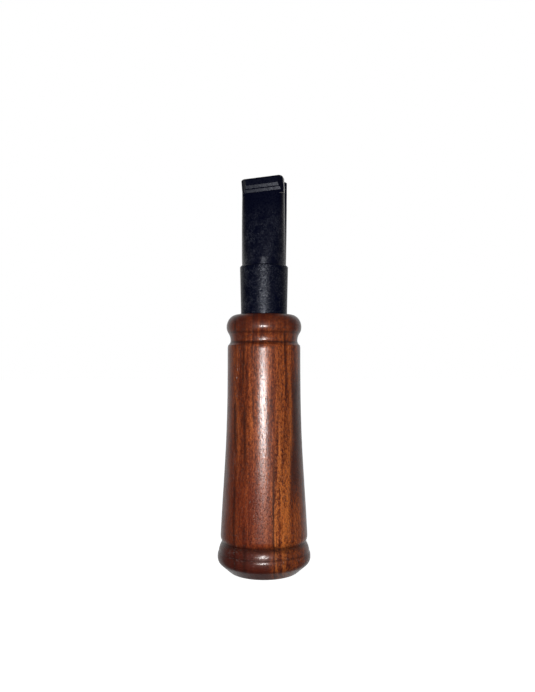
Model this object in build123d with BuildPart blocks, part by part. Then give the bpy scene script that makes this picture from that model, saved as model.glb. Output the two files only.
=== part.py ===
from build123d import *
from math import cos, pi, radians, sin, tan
import os

# Mouth-blown duck call: a turned hardwood barrel that flares to a bell end, and a black reed mouthpiece
# whose two jaws are held by a tapered sleeve in the barrel's narrow end.
# Millimetres. +Z runs up the axis from the bell end to the mouthpiece, and the origin is the centre of
# the bell end's rim. The jaws are made facing -Y, and the mouthpiece is then turned about Z.

# barrel, from the top down: (radius, height) of the points that the turned outline passes through
barrel_length = 88.5
shoulder_flat_r = 9.2
top_bead = (12.88, 84.2)
top_flank = (12.22, 82.1)
top_cove = (11.5, 79.6)
top_step = (12.35, 78.0)
body_top = (12.52, 76.8)
body_neck = (12.54, 68.5)
body_waist = (12.64, 59.5)
body_middle = (13.13, 44.0)
body_flare = (14.3, 24.5)
body_foot = (14.95, 13.0)
foot_groove = (14.32, 10.85)
foot_crease = (15.56, 7.6)
foot_crease_lean = 3.0
foot_bead = (15.98, 6.0)
foot_bead_low_z = 4.1
rim_corner_r = 11.2
foot_rounding = 3.0

# barrel, inside
bore_r = 6.0
bell_r = 8.0
bell_depth = 20.0
bell_lip_rounding = 0.5
ledge_z = 68.5

# sleeve: its outside tapers down into the barrel, and its bore tapers down around the jaws' shank
sleeve_bottom_z = 70.0
sleeve_top_z = 105.2
sleeve_top_r = 8.28
sleeve_taper = 0.021
sleeve_rim_chamfer = 0.35
sleeve_mouth_r = 7.62
bore_taper = 0.0255
fit_gap = 0.04

# jaws
mouthpiece_turn = -9.5
shank_bottom_z = 73.0
neck_z = 107.5
tip_z = 134.7
tip_slant = 4.8
front_half_width = 7.25
rear_half_width = 7.8
tip_half_depth = 3.9
tip_squareness = 4.2
tip_corner_r = 1.1
outline_margin = 0.15
outline_flare = 1.2
slot_start_z = 100.0
lay_start_z = 88.0
tip_gap_half = 1.5
overcut = 3.0

# bite lip across the tip of each jaw: a plinth and a pad on it, each with a steep foot and a shallow shelf
front_plinth_width = 14.3
rear_plinth_width = 13.2
plinth_drop = 5.65
plinth_base = 4.3
plinth_rise = 1.2
pad_inset = 1.15
lip_root = 1.6
pad_drop = 3.8
pad_rise = 0.6
shelf_height = 1.0
shelf_rise = 0.3
shelf_end = 0.25
tip_edge_r = 0.7
rear_tip_drop = 0.9

# reed, its clamp and the air channel under it
reed_width = 9.0
reed_thickness = 0.35
reed_gap = 0.08
reed_root_z = 80.0
reed_tip_z = 129.5
reed_tip_rounding = 2.2
wedge_height = 7.0
wedge_width = 8.0
wedge_depth = 2.0
reed_face_y = -reed_gap - reed_thickness
clamp_face_y = reed_face_y - reed_gap
bay_width = 10.0
bay_depth = 1.4
channel_width = 4.6
channel_depth = 2.6
channel_top_z = 123.0


tip_line = Vector(1, 0, 0).rotate(Axis.Y, -tip_slant)


def sleeve_r(z):
    return sleeve_top_r - sleeve_taper * (sleeve_top_z - z)


def sleeve_bore_r(z):
    return sleeve_mouth_r - bore_taper * (sleeve_top_z - z)


def half_section(z, half_width, half_depth, squareness):
    """Half a superellipse at height z: a half circle at a squareness of 2, squarer above that."""
    steps = 16
    outline = []
    for step in range(1, steps):
        angle = pi * step / steps
        across = half_width * abs(cos(angle)) ** (2 / squareness)
        outward = half_depth * sin(angle) ** (2 / squareness)
        outline.append((across if step < steps / 2 else -across, -outward))
    with BuildSketch(Plane.XY.offset(z)) as section:
        with BuildLine():
            Spline((half_width, 0), *outline, (-half_width, 0))
            Line((-half_width, 0), (half_width, 0))
        make_face()
    return section.sketch


def shank_section(z):
    """Half the round shank of the closed jaws."""
    shank_r = sleeve_bore_r(z) - fit_gap
    return half_section(z, shank_r, shank_r, 2)


def blade_section(share, tip_half_width):
    """Half a section of the closed jaws, at a share of the way from the round neck to the squarer tip."""
    neck_r = sleeve_bore_r(neck_z) - fit_gap
    return half_section(
        neck_z + share * (tip_z + overcut - neck_z),
        neck_r + share * (tip_half_width - neck_r),
        neck_r + share * (tip_half_depth - neck_r),
        2 + share * (tip_squareness - 2),
    )


def lip_step(width, drop, base, rise):
    """One step of the bite lip, standing out towards -Y: a straight root, a 45 degree foot, a shallow shelf."""
    foot_rise = rise - shelf_rise
    levels = (
        (base, width, drop),
        (base + foot_rise, width - 2 * foot_rise, drop - foot_rise),
        (base + rise, width - 2 * (foot_rise + shelf_end), drop - foot_rise - shelf_height),
    )
    rectangles = []
    for outward, wide, low in levels:
        with BuildSketch(Plane(origin=(0, -outward, tip_z), x_dir=tip_line, z_dir=(0, -1, 0))) as rectangle:
            with Locations((0, (overcut - low) / 2)):
                Rectangle(wide, overcut + low)
        rectangles.append(rectangle.sketch)
    with BuildPart() as step:
        extrude(rectangles[0], amount=lip_root - base)
        loft(rectangles[:2], ruled=True)
        loft(rectangles[1:], ruled=True)
    return step.part


def tip_outline(tip_half_width):
    """A jaw seen from the front: the tip is slanted and its corners are rounded."""
    half_width = tip_half_width + outline_margin
    slant_rise = half_width * tan(radians(tip_slant))
    foot_half_width = half_width + outline_flare
    with BuildSketch(Plane.XZ) as outline:
        with BuildLine():
            FilletPolyline(
                (-foot_half_width, shank_bottom_z - overcut),
                (-half_width, tip_z - slant_rise),
                (half_width, tip_z + slant_rise),
                (foot_half_width, shank_bottom_z - overcut),
                radius=tip_corner_r,
            )
            Line(
                (foot_half_width, shank_bottom_z - overcut),
                (-foot_half_width, shank_bottom_z - overcut),
            )
        make_face()
    return outline.sketch


def tip_profile():
    """The front jaw seen from the side: the outer edge of its tip is rounded."""
    lip_face = plinth_base + plinth_rise + pad_rise
    length = tip_z - shank_bottom_z + overcut
    with BuildSketch(Plane(origin=(0, 0, tip_z), x_dir=(0, -1, 0), z_dir=-tip_line)) as profile:
        with BuildLine():
            FilletPolyline((-overcut, 0), (lip_face, 0), (lip_face, -plinth_drop), radius=tip_edge_r)
            Polyline(
                (lip_face, -plinth_drop),
                (lip_face + overcut, -plinth_drop - overcut),
                (lip_face + overcut, -length),
                (-overcut, -length),
                (-overcut, 0),
            )
        make_face()
    return profile.sketch


def jaw_blank(tip_half_width, plinth_width, tip_drop=0):
    """A jaw's outside facing -Y with a flat inner face at Y = 0, before its slot and pockets are cut."""
    lowered = Pos(0, 0, -tip_drop)
    with BuildPart() as blank:
        loft([shank_section(shank_bottom_z), shank_section(neck_z)])
        loft([blade_section(share, tip_half_width) for share in (0, 1 / 3, 2 / 3, 1)])
        add(lowered * lip_step(plinth_width, plinth_drop, plinth_base, plinth_rise))
        add(lowered * lip_step(plinth_width - 2 * pad_inset, pad_drop, plinth_base + plinth_rise, pad_rise))
        for outline in (tip_outline(tip_half_width), tip_profile()):
            extrude(lowered * outline, amount=2 * tip_half_width, both=True, mode=Mode.INTERSECT)
    return blank.part


def pocket(width, low_z, high_z, low_y, high_y):
    """Cut a box that is centred across the mouthpiece, given by its heights and by its reach in depth."""
    with Locations((0, (low_y + high_y) / 2, (low_z + high_z) / 2)):
        Box(width, high_y - low_y, high_z - low_z, mode=Mode.SUBTRACT)


with BuildPart() as barrel:
    with BuildSketch(Plane.XZ) as wall:
        with BuildLine():
            Line((sleeve_r(ledge_z) + fit_gap, ledge_z), (sleeve_r(barrel_length) + fit_gap, barrel_length))
            Line((sleeve_r(barrel_length) + fit_gap, barrel_length), (shoulder_flat_r, barrel_length))
            EllipticalCenterArc(
                (shoulder_flat_r, top_bead[1]),
                top_bead[0] - shoulder_flat_r,
                barrel_length - top_bead[1],
                start_angle=0,
                arc_size=90,
            )
            TangentArc(top_bead, top_flank, tangent=(0, -1))
            TangentArc(top_cove, top_flank, tangent=(0, 1))
            TangentArc(top_cove, top_step, tangent=(0, -1))
            TangentArc(body_top, top_step, tangent=(0, 1))
            Spline(body_top, body_neck, body_waist, body_middle, body_flare, body_foot)
            TangentArc(body_foot, foot_groove, tangent=(0, -1))
            TangentArc(foot_crease, foot_groove, tangent=(-tan(radians(foot_crease_lean)), 1))
            TangentArc(foot_bead, foot_crease, tangent=(0, 1))
            Polyline(foot_bead, (foot_bead[0], foot_bead_low_z), (rim_corner_r, 0), (bell_r, 0))
            TangentArc((bore_r, bell_depth), (bell_r, 0), tangent=(0, -1))
            Line((bore_r, bell_depth), (bore_r, ledge_z))
            Line((bore_r, ledge_z), (sleeve_r(ledge_z) + fit_gap, ledge_z))
        make_face()
        foot_corners = wall.vertices().filter_by(
            lambda corner: corner.Y < foot_bead[1] - 1 and corner.X > rim_corner_r - 1
        )
        fillet(foot_corners, foot_rounding)
        fillet(wall.vertices().sort_by_distance((bell_r, 0))[0], bell_lip_rounding)
    revolve(axis=Axis.Z)

with BuildPart() as mouthpiece_sleeve:
    with BuildSketch(Plane.XZ) as tube:
        with BuildLine():
            Polyline(
                (sleeve_bore_r(sleeve_bottom_z), sleeve_bottom_z),
                (sleeve_r(sleeve_bottom_z), sleeve_bottom_z),
                (sleeve_r(sleeve_top_z), sleeve_top_z),
                (sleeve_bore_r(sleeve_top_z), sleeve_top_z),
                close=True,
            )
        make_face()
        chamfer(tube.vertices().group_by(Axis.X)[-1], sleeve_rim_chamfer)
    revolve(axis=Axis.Z)

with BuildPart() as cover_half:
    add(jaw_blank(front_half_width, front_plinth_width))
    with BuildSketch(Plane.YZ):
        with BuildLine():
            Polyline(
                (0, slot_start_z),
                (-tip_gap_half, tip_z),
                (-tip_gap_half, tip_z + overcut),
                (overcut, tip_z + overcut),
                (overcut, slot_start_z),
                close=True,
            )
        make_face()
    extrude(amount=2 * rear_half_width, both=True, mode=Mode.SUBTRACT)
    pocket(bay_width, reed_root_z - reed_gap, tip_z + overcut, clamp_face_y, overcut)
    pocket(bay_width, reed_root_z + wedge_height, tip_z + overcut, -bay_depth, overcut)
    pocket(wedge_width, reed_root_z, reed_root_z + wedge_height, clamp_face_y - wedge_depth, overcut)

with BuildPart() as tone_half:
    mirror(jaw_blank(rear_half_width, rear_plinth_width, rear_tip_drop), about=Plane.XZ)
    with BuildSketch(Plane.YZ):
        with BuildLine():
            TangentArc((0, lay_start_z), (tip_gap_half, tip_z), tangent=(0, 1))
            Polyline(
                (tip_gap_half, tip_z),
                (tip_gap_half, tip_z + overcut),
                (-overcut, tip_z + overcut),
                (-overcut, lay_start_z),
                (0, lay_start_z),
            )
        make_face()
    extrude(amount=2 * rear_half_width, both=True, mode=Mode.SUBTRACT)
    channel_length = channel_top_z - shank_bottom_z + channel_width
    channel_plane = Plane(origin=(0, 0, channel_top_z - channel_length / 2), x_dir=(0, 0, 1), z_dir=(0, 1, 0))
    with BuildSketch(channel_plane):
        SlotOverall(channel_length, channel_width)
    extrude(amount=channel_depth, mode=Mode.SUBTRACT)
    pocket(channel_width, shank_bottom_z, shank_bottom_z + channel_width, 0, channel_depth)

with BuildPart() as strip:
    with Locations((0, reed_face_y + reed_thickness / 2, (reed_root_z + reed_tip_z) / 2)):
        Box(reed_width, reed_thickness, reed_tip_z - reed_root_z)
    fillet(strip.edges().filter_by(Axis.Y).group_by(Axis.Z)[-1], reed_tip_rounding)

with BuildPart() as cork:
    with Locations((0, clamp_face_y - wedge_depth / 2, reed_root_z + wedge_height / 2)):
        Box(wedge_width, wedge_depth, wedge_height)

turned = (0, 0, mouthpiece_turn)
with BuildPart() as front_jaw:
    add(cover_half.part, rotation=turned)
with BuildPart() as rear_jaw:
    add(tone_half.part, rotation=turned)
with BuildPart() as reed:
    add(strip.part, rotation=turned)
with BuildPart() as reed_wedge:
    add(cork.part, rotation=turned)

barrel.part.label = "barrel"
mouthpiece_sleeve.part.label = "mouthpiece_sleeve"
front_jaw.part.label = "front_jaw"
rear_jaw.part.label = "rear_jaw"
reed.part.label = "reed"
reed_wedge.part.label = "reed_wedge"

os.makedirs("parts", exist_ok=True)
for piece in (barrel, mouthpiece_sleeve, front_jaw, rear_jaw, reed, reed_wedge):
    export_step(piece.part, "parts/" + piece.part.label + ".step")
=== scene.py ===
import math

import bpy
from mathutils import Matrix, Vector

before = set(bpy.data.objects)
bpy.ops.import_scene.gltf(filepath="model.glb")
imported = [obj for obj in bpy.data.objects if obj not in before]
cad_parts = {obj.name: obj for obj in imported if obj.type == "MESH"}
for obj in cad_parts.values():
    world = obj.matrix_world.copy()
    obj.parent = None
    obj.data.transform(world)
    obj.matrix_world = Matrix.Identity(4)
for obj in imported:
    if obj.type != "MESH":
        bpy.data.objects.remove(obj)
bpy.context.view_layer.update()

MM = 0.001
TO_MM = (1000, 1000, 1000)

# heights on the call, mm, where the finish changes and where painted shade lies in the grooves and creases
end_crease_z = 7.5
end_bead_z = 8.5
end_groove_z = 10.7
body_foot_z = 11.0
body_top_z = 77.5
top_groove_z = 78.9
cove_edge_z = 82.2
shoulder_z = 87.5
jaw_face_z = 118
jaw_lip_z = 130

# light and camera: metres and watts
light_distance = 0.255
light_side = -0.010
key_light = {"height": 0.057, "aim": 0.056, "size": (0.066, 0.020), "power": 0.335}
upper_light = {"height": 0.099, "aim": 0.090, "size": (0.044, 0.028), "power": 0.138}
world_bright = 0.56
world_dim = 0.02
eye_distance = 0.2553
eye_height = 0.0702
eye_side = 0.0012
focal_length = 38.5
frame_lift = 0.0318
floor_size = 8.0
floor_glow = 0.92


# ---------------------------------------------------------------- shader helpers

class Shader:
    """A material's node tree, built one node at a time around a Principled surface."""

    def __init__(self, name):
        self.material = bpy.data.materials.new(name)
        self.material.use_nodes = True
        self.tree = self.material.node_tree
        self.surface = self.tree.nodes["Principled BSDF"]
        coordinates = self.tree.nodes.new("ShaderNodeTexCoord")
        self.position = self.scaled(coordinates.outputs["Object"], TO_MM)

    def put(self, socket, value):
        if isinstance(value, bpy.types.NodeSocket):
            self.tree.links.new(value, socket)
        else:
            socket.default_value = value

    def dressed(self, **inputs):
        """The material, once the surface's inputs are set; an underscore stands for a space in a name."""
        for name, value in inputs.items():
            self.put(self.surface.inputs[name.replace("_", " ")], value)
        return self.material

    def node(self, kind, settings=None, **inputs):
        made = self.tree.nodes.new("ShaderNode" + kind)
        for name, value in (settings or {}).items():
            setattr(made, name, value)
        for name, value in inputs.items():
            self.put(made.inputs[name.replace("_", " ")], value)
        return made

    def scaled(self, vector, scale):
        return self.node("Mapping", Vector=vector, Scale=scale).outputs["Vector"]

    def math(self, operation, first, second=0.0, third=0.0):
        made = self.node("Math", {"operation": operation})
        for socket, value in zip(made.inputs, (first, second, third)):
            self.put(socket, value)
        return made.outputs[0]

    def product(self, first, *others):
        for other in others:
            first = self.math("MULTIPLY", first, other)
        return first

    def greatest(self, first, *others):
        for other in others:
            first = self.math("MAXIMUM", first, other)
        return first

    def remap(self, value, low, high, out_low=0.0, out_high=1.0):
        """Ease from out_low to out_high as the value goes from low to high."""
        limits = {"From_Min": low, "From_Max": high, "To_Min": out_low, "To_Max": out_high}
        made = self.node("MapRange", {"interpolation_type": "SMOOTHSTEP"}, Value=value, **limits)
        return made.outputs["Result"]

    def band(self, value, centre, half_width, amount=1.0):
        """The amount at the centre, easing to nothing at half_width on either side."""
        away = self.math("ABSOLUTE", self.math("SUBTRACT", value, centre))
        return self.remap(away, 0, half_width, amount, 0)

    def noise(self, scale, vector=None, detail=2.0, roughness=0.5, distortion=0.0):
        """Noise with this many features to a millimetre, as one number or one for each axis."""
        vector = self.position if vector is None else vector
        if not isinstance(scale, (int, float)):
            vector = self.scaled(vector, scale)
            scale = 1.0
        look = {"Scale": scale, "Detail": detail, "Roughness": roughness, "Distortion": distortion}
        return self.node("TexNoise", Vector=vector, **look).outputs["Fac"]

    def blend(self, share, first, second):
        """The first colour with a share of the second; a colour is a socket or red, green and blue."""
        made = self.node("Mix", {"data_type": "RGBA"})
        share_socket, first_socket, second_socket = made.inputs[0], made.inputs[6], made.inputs[7]
        self.put(share_socket, share)
        for socket, colour in ((first_socket, first), (second_socket, second)):
            self.put(socket, (*colour, 1) if isinstance(colour, tuple) else colour)
        return made.outputs[2]

    def brighten(self, colour, factor):
        return self.node("VectorMath", {"operation": "SCALE"}, Vector=colour, Scale=factor).outputs["Vector"]

    def ramp(self, value, stops):
        made = self.node("ValToRGB", Fac=value)
        band = made.color_ramp
        while len(band.elements) < len(stops):
            band.elements.new(0.5)
        for element, (place, colour) in zip(band.elements, stops):
            element.position = place
            element.color = (*colour, 1)
        return made.outputs["Color"]

    def bump(self, height, distance, strength):
        return self.node("Bump", Height=height, Distance=distance, Strength=strength).outputs["Normal"]


# ---------------------------------------------------------------- wood

class Wood(Shader):
    """A shader that also holds the patterns that the wood's colour and finish share.

    The ring value counts millimetres across the front of the barrel, from its middle to the right.
    """

    def __init__(self, name):
        super().__init__(name)
        self.x, self.y, self.z = self.node("SeparateXYZ", Vector=self.position).outputs
        self.ring = self.growth_rings(pith_x=-60.0, pith_y=-10.0, sway=4.0)
        sheets = self.node(
            "CombineXYZ",
            X=self.ring,
            Y=self.product(self.y, 0.25),
            Z=self.product(self.z, 0.035),
        ).outputs["Vector"]
        self.streaks = self.noise(0.75, sheets, detail=4, roughness=0.6)
        self.mottle = self.noise((2.1, 2.1, 0.95), detail=4, roughness=0.7, distortion=0.4)
        self.fibres = self.noise((4.5, 4.5, 0.22), roughness=0.6)
        self.coarse = self.coarse_zone()
        cells = self.noise((3.6, 3.6, 1.5), roughness=0.55, distortion=0.3)
        self.pores = self.remap(self.math("MULTIPLY_ADD", self.coarse, 0.05, cells), 0.57, 0.64)

    def growth_rings(self, pith_x, pith_y, sway):
        """Distance from a pith far off to the left, counted from the call's axis, on wavy rings."""
        off_x = self.math("POWER", self.math("SUBTRACT", self.x, pith_x), 2)
        off_y = self.math("POWER", self.math("SUBTRACT", self.y, pith_y), 2)
        ring = self.math("ADD", self.math("SQRT", self.math("ADD", off_x, off_y)), pith_x)
        wave = self.math("SUBTRACT", self.noise((0.08, 0.08, 0.028), detail=3, roughness=0.55), 0.5)
        return self.math("MULTIPLY_ADD", wave, sway, ring)

    def coarse_zone(self):
        """Where the wood is dark and coarse: the front's right side, at middle height."""
        across = self.product(self.remap(self.ring, 8.2, 9.4), self.remap(self.ring, 15.5, 12.5))
        upwards = self.product(self.remap(self.z, 20, 34), self.remap(self.z, 74, 62))
        return self.product(across, upwards, self.remap(self.y, 3.0, -3.0))


def ground_colour(s):
    """Brown from long streaks, broad clouds and a mottle, under a strong fine swing in brightness."""
    clouds = s.noise((0.14, 0.14, 0.05))
    tone = s.math("MULTIPLY_ADD", s.streaks, 0.85, s.product(clouds, 0.2))
    tone = s.math("MULTIPLY_ADD", s.mottle, 0.45, tone)
    tone = s.math("MULTIPLY_ADD", s.fibres, 0.15, tone)
    colour = s.ramp(tone, [
        (0.64, (0.085, 0.0140, 0.0055)),
        (0.77, (0.190, 0.0360, 0.0095)),
        (0.87, (0.300, 0.0620, 0.0145)),
        (0.98, (0.440, 0.1050, 0.0230)),
    ])
    fine = s.math("MULTIPLY_ADD", s.fibres, 0.35, s.product(s.mottle, 0.65))
    return s.brighten(colour, s.remap(fine, 0.36, 0.66, 0.67, 1.74))


def with_orange_streak(s, wood):
    """An orange streak on the right, strongest low down, with a sharp dark line along its edge."""
    across = s.product(s.remap(s.ring, 3.2, 4.4), s.remap(s.ring, 8.2, 10.0, 1.0, 0.0))
    low = s.remap(s.z, 74, 30, 0.25, 1.0)
    flecks = s.remap(s.math("MULTIPLY_ADD", s.mottle, 0.5, s.product(s.streaks, 0.5)), 0.42, 0.56)
    front = s.remap(s.y, 4, -4, 0.0, 0.8)
    wood = s.blend(s.product(across, low, flecks, front), wood, (0.72, 0.200, 0.040))
    edge_line = s.product(s.band(s.ring, 3.7, 0.55, 0.85), s.remap(s.z, 44, 34))
    return s.blend(edge_line, wood, (0.035, 0.0095, 0.0060))


def with_red_and_dark_zones(s, wood):
    """Redder low down on the left, dark in the coarse zone, and a dull red-brown round the left side."""
    redder = s.product(s.remap(s.z, 46, 26, 0.0, 0.45), s.remap(s.ring, 3.6, 1.0))
    wood = s.blend(redder, wood, (0.200, 0.0250, 0.0110))
    wood = s.blend(s.product(s.coarse, 0.72), wood, (0.066, 0.0150, 0.0105))
    return s.blend(s.remap(s.ring, -2.5, -13.0, 0.0, 0.55), wood, (0.115, 0.0170, 0.0090))


def with_bead_stain(s, wood):
    """Both ends are stained deeper than the body, the end bead most on the side away from the streak."""
    on_end_bead = s.remap(s.z, body_foot_z, end_bead_z)
    on_top = s.remap(s.z, body_top_z - 0.1, body_top_z + 0.1)
    depth = s.greatest(s.remap(s.z, body_top_z, shoulder_z, 0.2, 0.7), s.product(on_end_bead, 0.4))
    depth = s.product(depth, s.math("ADD", on_top, on_end_bead))
    left_bead = s.product(s.remap(s.z, body_foot_z + 1, end_bead_z, 0.0, 0.85), s.remap(s.ring, 4.5, 1.5))
    return s.blend(s.greatest(depth, left_bead), wood, (0.085, 0.0125, 0.0080))


def with_veins(s, wood):
    """A few thin dark veins that wander up the piece and fade in and out."""
    veins = s.greatest(
        s.band(s.ring, -9.6, 0.7),
        s.band(s.ring, -6.4, 0.9),
        s.product(s.band(s.ring, -3.4, 0.55), s.remap(s.z, 34, 48)),
        s.product(s.band(s.ring, 6.9, 0.6), s.remap(s.z, 40, 52)),
    )
    broken = s.remap(s.noise((0.3, 0.3, 0.06), detail=3), 0.4, 0.58)
    return s.blend(s.product(veins, broken, 0.85), wood, (0.050, 0.0100, 0.0055))


def with_painted_groove_shade(s, wood):
    """Painted shade: darkening in the turned grooves and creases, where shade falls."""
    # painted shade: dark bands centred on each groove and crease
    groove_shade = s.greatest(
        s.band(s.z, end_groove_z, 1.7),
        s.band(s.z, end_crease_z, 0.5, 0.6),
        s.band(s.z, top_groove_z, 0.75),
        s.band(s.z, cove_edge_z, 0.6, 0.65),
    )
    uneven = s.remap(s.mottle, 0.25, 0.6, 1.0, 0.72)
    return s.blend(s.product(groove_shade, uneven), wood, (0.026, 0.0050, 0.0035))


def lacquered_hardwood():
    """Reddish brown hardwood with orange and dark streaks, turned and lacquered."""
    s = Wood("lacquered_hardwood")
    wood = ground_colour(s)
    wood = with_orange_streak(s, wood)
    wood = with_red_and_dark_zones(s, wood)
    wood = with_bead_stain(s, wood)
    wood = with_veins(s, wood)
    wood = s.blend(s.product(s.pores, 0.72), wood, (0.030, 0.0075, 0.0050))
    # painted shade in the turned grooves and creases
    wood = with_painted_groove_shade(s, wood)

    relief = s.math("MULTIPLY_ADD", s.pores, -1.0, s.product(s.fibres, 0.35))
    relief = s.math("MULTIPLY_ADD", s.mottle, 0.4, relief)
    return s.dressed(
        Base_Color=wood,
        Roughness=s.remap(s.mottle, 0.3, 0.7, 0.34, 0.46),
        Specular_IOR_Level=0.44,
        Specular_Tint=(1.0, 0.82, 0.76, 1),
        Coat_Weight=s.remap(s.pores, 0, 1, 0.74, 0.1),
        Coat_Roughness=0.17,
        Coat_IOR=1.5,
        Normal=s.bump(relief, 0.07 * MM, 0.7),
        Coat_Normal=s.bump(relief, 0.06 * MM, 0.8),
    )


# ---------------------------------------------------------------- plastic, film and cork

def scratch_pattern(s, height):
    """Fine scratches in four directions, in patches, and none near the bite lip."""
    directions = []
    for turn, stretch in ((0.5, 0.12), (-0.9, 0.16), (1.35, 0.1), (-2.1, 0.14)):
        turned = s.node("Mapping", Vector=s.position, Rotation=(turn, turn * 0.7, turn)).outputs["Vector"]
        lines = s.noise((4.2, 4.2, 4.2 * stretch), turned, roughness=0.55, distortion=0.3)
        directions.append(s.remap(lines, 0.61, 0.68))
    patches = s.remap(s.noise(0.28, detail=3, roughness=0.6), 0.38, 0.58)
    below_lip = s.remap(height, jaw_lip_z - 2, jaw_face_z - 1)
    return s.product(s.greatest(*directions), patches, below_lip)


def worn_plastic(name, tint, shine, relief, dust):
    """Black moulded plastic with a leathery grain, smoother towards the bite lip, and fine scratches."""
    s = Shader(name)
    height = s.node("SeparateXYZ", Vector=s.position).outputs["Z"]
    scratches = scratch_pattern(s, height)
    middle = 0.5
    strength = s.remap(height, jaw_lip_z, jaw_face_z, 0.6, 1.0)
    grain = s.math("SUBTRACT", s.noise(1.25, detail=4, roughness=0.66), middle)
    grain = s.math("MULTIPLY_ADD", grain, strength, middle)
    worn = s.math("MULTIPLY_ADD", scratches, 0.55, grain)
    return s.dressed(
        Base_Color=s.blend(s.product(scratches, 0.5), tint, (0.085, 0.095, 0.13)),
        Roughness=s.remap(grain, 0.3, 0.7, 0.2, 0.36),
        Specular_IOR_Level=shine,
        Specular_Tint=(0.88, 0.91, 1.0, 1),
        Sheen_Weight=dust,
        Sheen_Roughness=0.42,
        Sheen_Tint=(1.0, 0.97, 0.92, 1),
        Normal=s.bump(worn, relief * MM, 0.8),
    )


def reed_film():
    """Thin frosted polyester film."""
    s = Shader("reed_film")
    haze = s.noise((0.6, 0.6, 0.1), detail=3)
    return s.dressed(
        Base_Color=s.blend(haze, (0.62, 0.61, 0.54), (0.8, 0.79, 0.73)),
        Roughness=s.remap(haze, 0.3, 0.7, 0.25, 0.4),
        Transmission_Weight=0.35,
        Normal=s.bump(s.noise(1.5), 0.01 * MM, 0.3),
    )


def natural_cork():
    """Pressed cork with dark specks."""
    s = Shader("natural_cork")
    grains = s.node("TexVoronoi", Vector=s.position, Scale=1.1).outputs["Distance"]
    tone = s.ramp(grains, [(0.0, (0.50, 0.31, 0.16)), (0.6, (0.34, 0.19, 0.09))])
    specks = s.remap(s.noise(1.6), 0.58, 0.66)
    return s.dressed(
        Base_Color=s.blend(specks, tone, (0.10, 0.045, 0.02)),
        Roughness=0.85,
        Normal=s.bump(grains, 0.15 * MM, 0.6),
    )


# ---------------------------------------------------------------- the call

def paint(node, material):
    """Give a CAD node its material."""
    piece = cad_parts[node]
    piece.data.materials.clear()
    piece.data.materials.append(material)


sleeve_plastic = worn_plastic("sleeve_plastic", (0.0018, 0.0028, 0.0125), shine=0.31, relief=0.16, dust=0.0)
jaw_plastic = worn_plastic("jaw_plastic", (0.0007, 0.0016, 0.0115), shine=0.26, relief=0.06, dust=0.3)

paint("barrel", lacquered_hardwood())
paint("mouthpiece_sleeve", sleeve_plastic)
paint("front_jaw", jaw_plastic)
paint("rear_jaw", jaw_plastic)
paint("reed", reed_film())
paint("reed_wedge", natural_cork())


# ---------------------------------------------------------------- floor, light and camera

def pale_floor():
    """A large plain floor under the bell end that casts no light on the call."""
    mesh = bpy.data.meshes.new("floor")
    half = floor_size / 2
    corners = [(-half, -half, 0), (half, -half, 0), (half, half, 0), (-half, half, 0)]
    mesh.from_pydata(corners, [], [(0, 1, 2, 3)])
    floor = bpy.data.objects.new("floor", mesh)
    bpy.context.scene.collection.objects.link(floor)
    s = Shader("pale_floor")
    mesh.materials.append(s.dressed(
        Base_Color=s.blend(s.noise(0.01), (0.86, 0.86, 0.86), (0.9, 0.9, 0.9)),
        Roughness=0.7,
        Emission_Color=(1, 1, 1, 1),
        Emission_Strength=floor_glow,
    ))
    floor.visible_diffuse = False
    floor.visible_glossy = False


def area_light(name, height, aim, size, power):
    """A soft rectangular light in front of the call that faces a point on its axis."""
    data = bpy.data.lights.new(name, "AREA")
    data.shape = "RECTANGLE"
    data.size, data.size_y = size
    data.energy = power
    light = bpy.data.objects.new(name, data)
    light.location = (light_side, -light_distance, height)
    light.rotation_euler = (Vector((0, 0, aim)) - light.location).to_track_quat("-Z", "Y").to_euler()
    light.visible_camera = False
    bpy.context.scene.collection.objects.link(light)


def studio_world():
    """White surroundings, dimmer on the camera's side, and plain white where they are seen directly."""
    world = bpy.data.worlds.new("studio")
    world.use_nodes = True
    bpy.context.scene.world = world
    nodes = world.node_tree.nodes
    links = world.node_tree.links
    background = nodes["Background"]
    direction = nodes.new("ShaderNodeTexCoord")
    split = nodes.new("ShaderNodeSeparateXYZ")
    links.new(direction.outputs["Generated"], split.inputs[0])
    level = nodes.new("ShaderNodeMapRange")
    level.interpolation_type = "SMOOTHSTEP"
    level.inputs["From Min"].default_value = 0.22
    level.inputs["From Max"].default_value = 0.9
    level.inputs["To Min"].default_value = world_dim
    level.inputs["To Max"].default_value = world_bright
    links.new(split.outputs["Y"], level.inputs["Value"])
    seen = nodes.new("ShaderNodeLightPath")
    choice = nodes.new("ShaderNodeMix")
    links.new(seen.outputs["Is Camera Ray"], choice.inputs[0])
    links.new(level.outputs["Result"], choice.inputs[2])
    choice.inputs[3].default_value = 1.0
    links.new(choice.outputs[0], background.inputs["Strength"])
    background.inputs["Color"].default_value = (1, 1, 1, 1)


def camera():
    """Level camera in front of the call."""
    data = bpy.data.cameras.new("camera")
    data.sensor_width = 36
    data.lens = focal_length
    data.shift_y = frame_lift
    data.clip_start = 0.01
    eye = bpy.data.objects.new("camera", data)
    eye.location = (eye_side, -eye_distance, eye_height)
    eye.rotation_euler = (math.radians(90), 0, 0)
    bpy.context.scene.collection.objects.link(eye)
    bpy.context.scene.camera = eye


pale_floor()
studio_world()
area_light("key", **key_light)
area_light("upper", **upper_light)
camera()
bpy.context.scene.view_settings.view_transform = "Standard"
